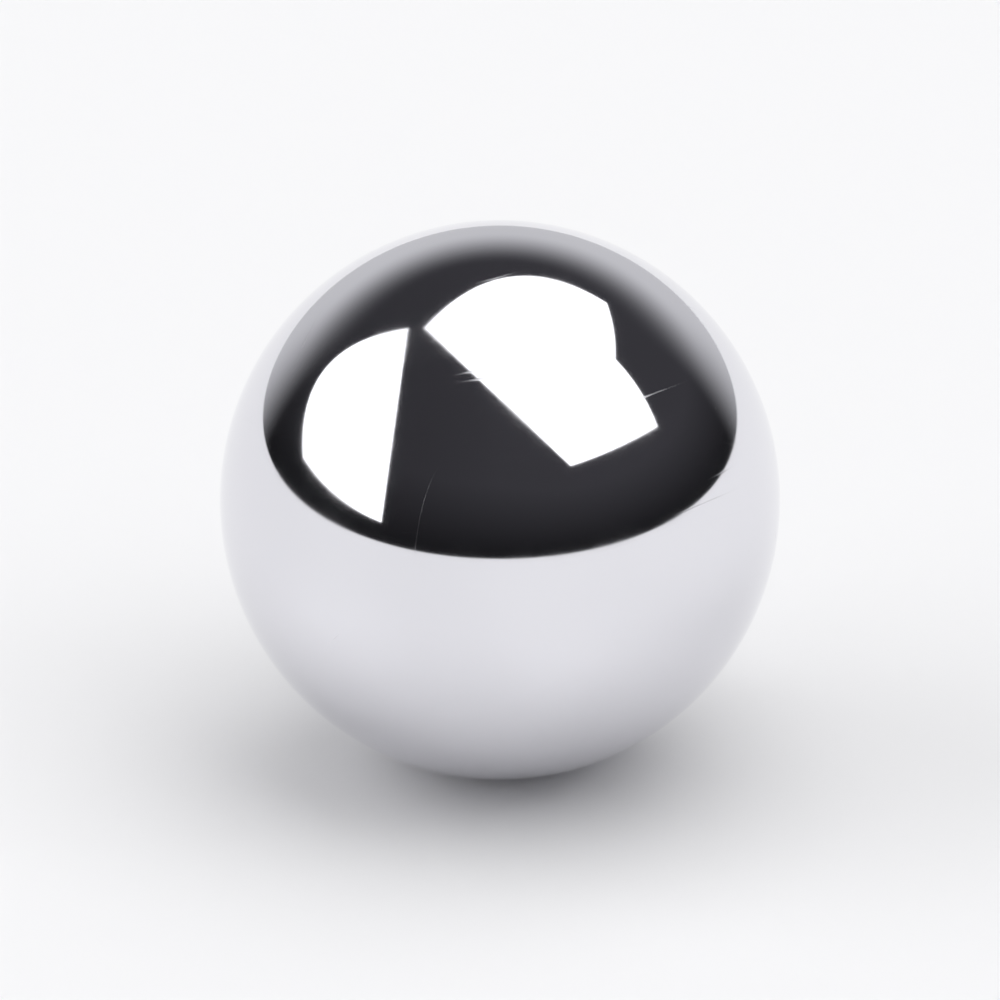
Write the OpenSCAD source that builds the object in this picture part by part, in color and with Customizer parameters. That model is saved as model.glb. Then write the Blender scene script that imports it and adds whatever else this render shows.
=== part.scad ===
// Loose steel ball, ground and lapped to a mirror finish.
// One solid piece: no bore, flat, seam or coating. It is modelled about its own centre, with +Z up.

/* [Ball] */
// Diameter across the ball, the same in every direction
ball_d = 3; // [1:0.1:12]

/* [Hidden] */
// Sides that the preview draws round the ball; the form itself is a true sphere
preview_sides = 96;
// Cool silver grey of the bare polished metal
polished_steel = [0.78, 0.78, 0.81];

// The whole ball: one unbroken spherical surface round the origin, which is its centre of mass
module ball() {
    color(polished_steel)
        sphere(d = ball_d, $fn = preview_sides);
}

ball();
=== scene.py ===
"""A loose steel ball, lapped to a mirror finish, lying on a pale bench under two softboxes.

Everything is in metres. The ball's centre is the origin, and the bench top touches its lowest point.
"""

import math

import bmesh
import bpy
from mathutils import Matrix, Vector


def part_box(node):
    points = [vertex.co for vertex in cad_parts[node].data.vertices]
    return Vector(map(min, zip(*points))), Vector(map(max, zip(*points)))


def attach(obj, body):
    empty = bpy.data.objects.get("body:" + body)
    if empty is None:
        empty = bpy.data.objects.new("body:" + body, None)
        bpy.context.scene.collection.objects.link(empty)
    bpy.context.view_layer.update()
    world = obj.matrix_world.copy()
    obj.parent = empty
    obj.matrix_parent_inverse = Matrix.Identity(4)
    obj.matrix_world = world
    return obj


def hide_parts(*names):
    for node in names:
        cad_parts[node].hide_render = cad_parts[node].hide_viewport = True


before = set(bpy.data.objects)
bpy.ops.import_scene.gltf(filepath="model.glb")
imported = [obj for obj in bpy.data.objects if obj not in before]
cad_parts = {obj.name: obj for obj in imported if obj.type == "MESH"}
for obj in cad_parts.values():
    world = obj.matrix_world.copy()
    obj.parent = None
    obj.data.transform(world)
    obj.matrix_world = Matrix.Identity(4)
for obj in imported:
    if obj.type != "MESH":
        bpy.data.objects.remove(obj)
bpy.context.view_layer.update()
ball_low, ball_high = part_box("ball")
ball_radius = max(ball_high - ball_low) / 2

# The ball's mesh: quads along each edge of the cube that it is rounded from
QUADS_PER_EDGE = 64

# The ball's surface laid out flat: each side of that cube has one tile, and fills this part of it
TILES_ACROSS = 3
TILES_UP = 2
TILE_FILL = 0.97

# The camera's view: degrees above the bench, distance, and the ball's share of the picture's width
VIEW_ELEVATION = 24
VIEW_DISTANCE = 0.1
BALL_SHARE = 0.56
view_angle = math.radians(VIEW_ELEVATION)
towards_camera = Vector((0, -math.cos(view_angle), math.sin(view_angle)))

# The softboxes' corners, anticlockwise, where they show on the ball: radii right and up of its middle as the
# camera sees it, and how far the side from that corner to the next one bulges outwards there
LEFT_SOFTBOX = [
    (-0.325, 0.61, 0.14),
    (-0.70, 0.15, 0.03),
    (-0.42, -0.08, 0),
]
RIGHT_SOFTBOX = [
    (-0.27, 0.61, 0),
    (0.25, 0.12, 0.01),
    (0.56, 0.26, 0.015),
    (0.41, 0.50, 0.01),
    (0.38, 0.70, 0.14),
]

# The parts that a softbox's side is divided into, how far away the softboxes hang, and their light
SOFTBOX_SIDE_PARTS = 12
SOFTBOX_DISTANCE = 2.0
SOFTBOX_COLOUR = (1, 1, 1)
SOFTBOX_STRENGTH = 1.9

# The plain bench top
BENCH_SIZE = 3.0
BENCH_WHITE = (0.845, 0.845, 0.855)

# The room as light: an even fill for what it lights, and the white past the end of the bench
ROOM_FILL = (0.48, 0.48, 0.485)
PAST_BENCH = (0.94, 0.94, 0.95)

# The room as the ball mirrors it: dark walls that pale with height and to the right, and a light backdrop
# behind the bench, from where it starts to where it is full. Places are parts of a direction of length 1.
WALL_LOW = (0.008, 0.008, 0.009)
WALL_HIGH = (0.045, 0.044, 0.050)
WALL_HIGH_FROM = 0.5
WALL_PALER_RIGHT = 0.35
BACKDROP = (0.62, 0.62, 0.64)
BACKDROP_DOWN = (0.66, 0.20)
BACKDROP_BACK = (0.45, 0.90)

# Bare polished steel: its two close shades, and how rough it is where it is clean, hazy or marked
STEEL_DEEPER = (0.772, 0.769, 0.804)
STEEL_PALER = (0.806, 0.803, 0.838)
CLEAN_ROUGHNESS = 0.05
HAZE_ROUGHNESS = 0.03
MARK_ROUGHNESS = 0.25
MARK_DEPTH = 6e-8

# The noise that spreads the haze and the paler shade, and the values of it from which to which they come in
HAZE_NOISE = {"Scale": 2.2, "Detail": 4.0, "Roughness": 0.6}
HAZE_COMES_IN = (0.42, 0.72)
SHADE_NOISE = {"Scale": 0.9, "Detail": 1.0}
SHADE_COMES_IN = (0.38, 0.62)

# Hairlines from lapping. Each run of them circles its own axis, through so many cells that are so many
# radians wide. A hairline reaches up to this far each way in its cell, as a part of it along and across,
# and only this share of the cells holds one. A noise bends a run by up to so many radians, and it fades
# out from here to there along its axis, in ball radii. Each run has its own turn of that axis.
HAIRLINE_CELLS_ROUND = 9
HAIRLINE_CELL_WIDTH = 0.012
HAIRLINE_LENGTH = 0.35
HAIRLINE_WIDTH = 0.34
HAIRLINE_SHARE = 0.04
HAIRLINE_BEND = 0.5
HAIRLINE_BEND_NOISE = {"Scale": 1.1, "Detail": 0.0}
HAIRLINE_FADE = (0.85, 0.70)
HAIRLINE_TURNS = [(0.2, 0.3, 0), (1.0, 0.5, 0), (1.7, 0.9, 0), (2.5, 0.4, 0)]

# Pits where a grain of grit has rolled, in ball radii: cell size, the part of it filled, share of cells
PIT_CELL = 0.10
PIT_FILL = 0.07
PIT_SHARE = 0.3


def add(tree, kind, sockets=None, **settings):
    """Adds a node with these settings. Each socket, by name or number, gets a value or a link."""
    node = tree.nodes.new(kind)
    for name, value in settings.items():
        setattr(node, name, value)
    for name, value in (sockets or {}).items():
        if isinstance(value, bpy.types.NodeSocket):
            tree.links.new(value, node.inputs[name])
        else:
            node.inputs[name].default_value = value
    return node


def maths(tree, operation, *values, clamp=False):
    """The output of a Math node with these values or links."""
    sockets = dict(enumerate(values))
    return add(tree, "ShaderNodeMath", sockets, operation=operation, use_clamp=clamp).outputs[0]


def scaled(tree, vector, factor):
    """The vector times a number."""
    sockets = {0: vector, "Scale": factor}
    return add(tree, "ShaderNodeVectorMath", sockets, operation="SCALE").outputs[0]


def mix(tree, share, first, second):
    """The output of a colour mix, from first at a share of 0 to second at 1."""
    return add(tree, "ShaderNodeMix", {0: share, 6: first, 7: second}, data_type="RGBA").outputs[2]


def smooth(tree, value, start, stop):
    """The value taken smoothly from 0 at start to 1 at stop."""
    sockets = {"Value": value, "From Min": start, "From Max": stop}
    return add(tree, "ShaderNodeMapRange", sockets, interpolation_type="SMOOTHSTEP").outputs[0]


def tent(tree, value, reach):
    """1 where the value is 0, falling to 0 where it is the reach or more, either way."""
    share = maths(tree, "DIVIDE", maths(tree, "ABSOLUTE", value), reach)
    return maths(tree, "SUBTRACT", 1.0, share, clamp=True)


def noise(tree, place, settings):
    """The outputs of a soft noise through the ball: its value, and a colour of three values."""
    return add(tree, "ShaderNodeTexNoise", {"Vector": place, **settings}).outputs


def mesh_object(name, form, material):
    """A finished object of this bmesh, which is freed."""
    mesh = bpy.data.meshes.new(name)
    form.to_mesh(mesh)
    form.free()
    mesh.materials.append(material)
    made = bpy.data.objects.new(name, mesh)
    bpy.context.scene.collection.objects.link(made)
    return made


def plain_material(name, colour, strength=0):
    """A matt material of one colour, or a light where it has a strength."""
    material = bpy.data.materials.new(name)
    material.use_nodes = True
    tree = material.node_tree
    tree.nodes.clear()
    if strength:
        shader = add(tree, "ShaderNodeEmission", {"Color": (*colour, 1), "Strength": strength})
    else:
        shader = add(tree, "ShaderNodeBsdfDiffuse", {"Color": (*colour, 1)})
    add(tree, "ShaderNodeOutputMaterial", {"Surface": shader.outputs[0]})
    return material


def hairline_group():
    """Sparse tapered scratches that circle one axis of the ball: 1 in the deepest one, 0 off them."""
    group = bpy.data.node_groups.new("hairlines", "ShaderNodeTree")
    group.interface.new_socket("Place", in_out="INPUT", socket_type="NodeSocketVector")
    group.interface.new_socket("Turn", in_out="INPUT", socket_type="NodeSocketVector")
    group.interface.new_socket("Bend", in_out="INPUT", socket_type="NodeSocketFloat")
    group.interface.new_socket("Mask", in_out="OUTPUT", socket_type="NodeSocketFloat")
    given = add(group, "NodeGroupInput").outputs
    turn = {"Vector": given["Place"], "Rotation": given["Turn"]}
    turned = add(group, "ShaderNodeVectorRotate", turn, rotation_type="EULER_XYZ").outputs[0]
    x, y, z = add(group, "ShaderNodeSeparateXYZ", {0: turned}).outputs
    round_axis = maths(group, "ARCTAN2", y, x)
    cells = HAIRLINE_CELLS_ROUND
    along = maths(group, "MULTIPLY_ADD", round_axis, cells / math.tau, cells / 2)
    from_middle = maths(group, "ADD", maths(group, "ARCSINE", z), given["Bend"])
    across = maths(group, "DIVIDE", from_middle, HAIRLINE_CELL_WIDTH)

    cell = {0: maths(group, "FLOOR", along), 1: maths(group, "FLOOR", across)}
    cell = add(group, "ShaderNodeCombineXYZ", cell).outputs[0]
    chances = add(group, "ShaderNodeTexWhiteNoise", {"Vector": cell}, noise_dimensions="2D")
    chances = add(group, "ShaderNodeSeparateColor", {0: chances.outputs["Color"]})
    chance, middle, depth = chances.outputs
    middle = maths(group, "MULTIPLY_ADD", middle, 1 - 2 * HAIRLINE_LENGTH, HAIRLINE_LENGTH)
    off_middle = maths(group, "SUBTRACT", maths(group, "FRACT", along), middle)
    inside_ends = tent(group, off_middle, maths(group, "MULTIPLY", depth, HAIRLINE_LENGTH))
    off_line = maths(group, "SUBTRACT", maths(group, "FRACT", across), 0.5)
    mask = maths(group, "MULTIPLY", inside_ends, tent(group, off_line, HAIRLINE_WIDTH))
    mask = maths(group, "MULTIPLY", mask, depth)
    mask = maths(group, "MULTIPLY", mask, maths(group, "LESS_THAN", chance, HAIRLINE_SHARE))
    fade = smooth(group, maths(group, "ABSOLUTE", z), *HAIRLINE_FADE)
    mask = maths(group, "MULTIPLY", mask, fade)
    add(group, "NodeGroupOutput", {"Mask": mask})
    return group


def pit_mask(tree, place):
    """Sparse round dents: 1 in the middle of each, 0 off them."""
    place = scaled(tree, place, 1 / PIT_CELL)
    cell = add(tree, "ShaderNodeVectorMath", {0: place}, operation="FLOOR").outputs[0]
    within = add(tree, "ShaderNodeVectorMath", {0: place}, operation="FRACTION").outputs[0]
    chance = add(tree, "ShaderNodeTexWhiteNoise", {"Vector": cell}, noise_dimensions="3D").outputs[0]
    off_pit = {0: within, 1: (0.5, 0.5, 0.5)}
    off_pit = add(tree, "ShaderNodeVectorMath", off_pit, operation="DISTANCE").outputs["Value"]
    inside = tent(tree, off_pit, PIT_FILL)
    return maths(tree, "MULTIPLY", inside, maths(tree, "LESS_THAN", chance, PIT_SHARE))


def polished_steel():
    """Bare steel, lapped to a mirror, with the hairlines, pits and faint haze that loose balls have."""
    material = bpy.data.materials.new("polished_steel")
    material.use_nodes = True
    tree = material.node_tree
    place = scaled(tree, add(tree, "ShaderNodeTexCoord").outputs["Object"], 1 / ball_radius)

    hairlines = hairline_group()
    bends = scaled(tree, noise(tree, place, HAIRLINE_BEND_NOISE)["Color"], HAIRLINE_BEND)
    bends = add(tree, "ShaderNodeSeparateXYZ", {0: bends}).outputs
    marks = pit_mask(tree, place)
    for number, turn in enumerate(HAIRLINE_TURNS):
        sockets = {"Place": place, "Turn": turn, "Bend": bends[number % len(bends)]}
        run = add(tree, "ShaderNodeGroup", sockets, node_tree=hairlines)
        marks = maths(tree, "MAXIMUM", marks, run.outputs["Mask"])

    haze = smooth(tree, noise(tree, place, HAZE_NOISE)[0], *HAZE_COMES_IN)
    shade = smooth(tree, noise(tree, place, SHADE_NOISE)[0], *SHADE_COMES_IN)
    colour = mix(tree, shade, (*STEEL_DEEPER, 1), (*STEEL_PALER, 1))
    roughness = maths(tree, "MULTIPLY_ADD", haze, HAZE_ROUGHNESS, CLEAN_ROUGHNESS)
    roughness = maths(tree, "MULTIPLY_ADD", marks, MARK_ROUGHNESS, roughness)
    dent = add(tree, "ShaderNodeBump", {"Height": marks, "Distance": MARK_DEPTH}, invert=True)

    shader = tree.nodes["Principled BSDF"]
    shader.inputs["Metallic"].default_value = 1.0
    tree.links.new(colour, shader.inputs["Base Color"])
    tree.links.new(roughness, shader.inputs["Roughness"])
    tree.links.new(dent.outputs[0], shader.inputs["Normal"])
    return material


def lay_out(face, layout):
    """Lays a quad of the cube out flat, in the tile that its side of the cube has."""
    axis = max(range(3), key=lambda i: abs(face.normal[i]))
    row = 0 if face.normal[axis] < 0 else 1
    for corner in face.loops:
        across = corner.vert.co[(axis + 1) % 3]
        up = corner.vert.co[(axis + 2) % 3]
        u = (axis + 0.5 + across * TILE_FILL / 2) / TILES_ACROSS
        v = (row + 0.5 + up * TILE_FILL / 2) / TILES_UP
        corner[layout].uv = (u, v)


def steel_ball(material):
    """The ball: a cube of even quads whose points are pushed out to the radius, with exact normals."""
    form = bmesh.new()
    bmesh.ops.create_cube(form, size=2)
    bmesh.ops.subdivide_edges(form, edges=form.edges[:], cuts=QUADS_PER_EDGE - 1, use_grid_fill=True)
    layout = form.loops.layers.uv.new("OFBake")
    for face in form.faces:
        face.smooth = True
        lay_out(face, layout)
    for point in form.verts:
        # Each edge of the cube spans a right angle, so even steps along it become even angles
        spread = Vector([math.tan(x * math.pi / 4) for x in point.co])
        point.co = spread.normalized() * ball_radius
    ball = mesh_object("lapped_ball", form, material)
    ball.data.normals_split_custom_set_from_vertices([v.co.normalized() for v in ball.data.vertices])
    return ball


def bench():
    """The pale bench top under the ball."""
    form = bmesh.new()
    bmesh.ops.create_grid(form, x_segments=1, y_segments=1, size=BENCH_SIZE / 2)
    bmesh.ops.translate(form, verts=form.verts, vec=(0, 0, -ball_radius))
    mesh_object("bench_top", form, plain_material("bench_white", BENCH_WHITE))


def mirrored(right, up):
    """The way that the ball mirrors to the camera at a place so many radii right and up of its middle."""
    sideways = Vector((1, 0, 0))
    normal = sideways * right + towards_camera.cross(sideways) * up
    normal += towards_camera * math.sqrt(1 - right ** 2 - up ** 2)
    return normal * 2 * normal.dot(towards_camera) - towards_camera


def softbox(name, corners):
    """A flat white light whose corners show at these places on the ball. The camera doesn't see it."""
    ways = []
    for start, end in zip(corners, corners[1:] + corners[:1]):
        corner = Vector(start[:2])
        side = Vector(end[:2]) - corner
        inwards = side.orthogonal().normalized()
        for part in range(SOFTBOX_SIDE_PARTS):
            share = part / SOFTBOX_SIDE_PARTS
            bulge = 4 * share * (1 - share) * start[2]
            ways.append(mirrored(*(corner + side * share - inwards * bulge)))
    facing = sum(ways, Vector()).normalized()
    form = bmesh.new()
    form.faces.new([form.verts.new(way * SOFTBOX_DISTANCE / way.dot(facing)) for way in ways])
    light = mesh_object(name, form, plain_material(name, SOFTBOX_COLOUR, SOFTBOX_STRENGTH))
    light.visible_camera = False
    # A light this large is found well enough by the rays that leave the surfaces
    light.data.materials[0].cycles.emission_sampling = "NONE"


def room():
    """The room: an even fill for what it lights, and dark walls with a light backdrop for the mirror."""
    world = bpy.data.worlds.new("studio_room")
    bpy.context.scene.world = world
    world.use_nodes = True
    # The fill is even, so it needs no light samples of its own
    world.cycles.sampling_method = "NONE"
    tree = world.node_tree
    tree.nodes.clear()
    way = add(tree, "ShaderNodeTexCoord").outputs["Generated"]
    right, back, height = add(tree, "ShaderNodeSeparateXYZ", {0: way}).outputs

    pale = maths(tree, "DIVIDE", height, WALL_HIGH_FROM, clamp=True)
    pale = maths(tree, "MULTIPLY", pale, maths(tree, "MULTIPLY_ADD", right, WALL_PALER_RIGHT, 1.0))
    walls = mix(tree, pale, (*WALL_LOW, 1), (*WALL_HIGH, 1))
    down = smooth(tree, height, *BACKDROP_DOWN)
    backdrop = maths(tree, "MULTIPLY", down, smooth(tree, back, *BACKDROP_BACK))
    walls = mix(tree, backdrop, walls, (*BACKDROP, 1))

    path = add(tree, "ShaderNodeLightPath").outputs
    seen = mix(tree, path["Is Glossy Ray"], (*ROOM_FILL, 1), walls)
    seen = mix(tree, path["Is Camera Ray"], seen, (*PAST_BENCH, 1))
    background = add(tree, "ShaderNodeBackground", {"Color": seen})
    add(tree, "ShaderNodeOutputWorld", {"Surface": background.outputs[0]})


def camera():
    """The camera, looking down at the ball, with the ball in the middle of a square picture."""
    data = bpy.data.cameras.new("camera")
    data.lens = data.sensor_width * VIEW_DISTANCE * BALL_SHARE / (2 * ball_radius)
    data.clip_start = ball_radius
    data.clip_end = BENCH_SIZE
    made = bpy.data.objects.new("camera", data)
    bpy.context.scene.collection.objects.link(made)
    made.location = towards_camera * VIEW_DISTANCE
    made.rotation_mode = "QUATERNION"
    made.rotation_quaternion = (-towards_camera).to_track_quat("-Z", "Y")
    bpy.context.scene.camera = made


camera()
room()
bench()
softbox("left_softbox", LEFT_SOFTBOX)
softbox("right_softbox", RIGHT_SOFTBOX)
bpy.context.scene.view_settings.view_transform = "Standard"

ball = steel_ball(polished_steel())
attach(ball, "root")
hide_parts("ball")
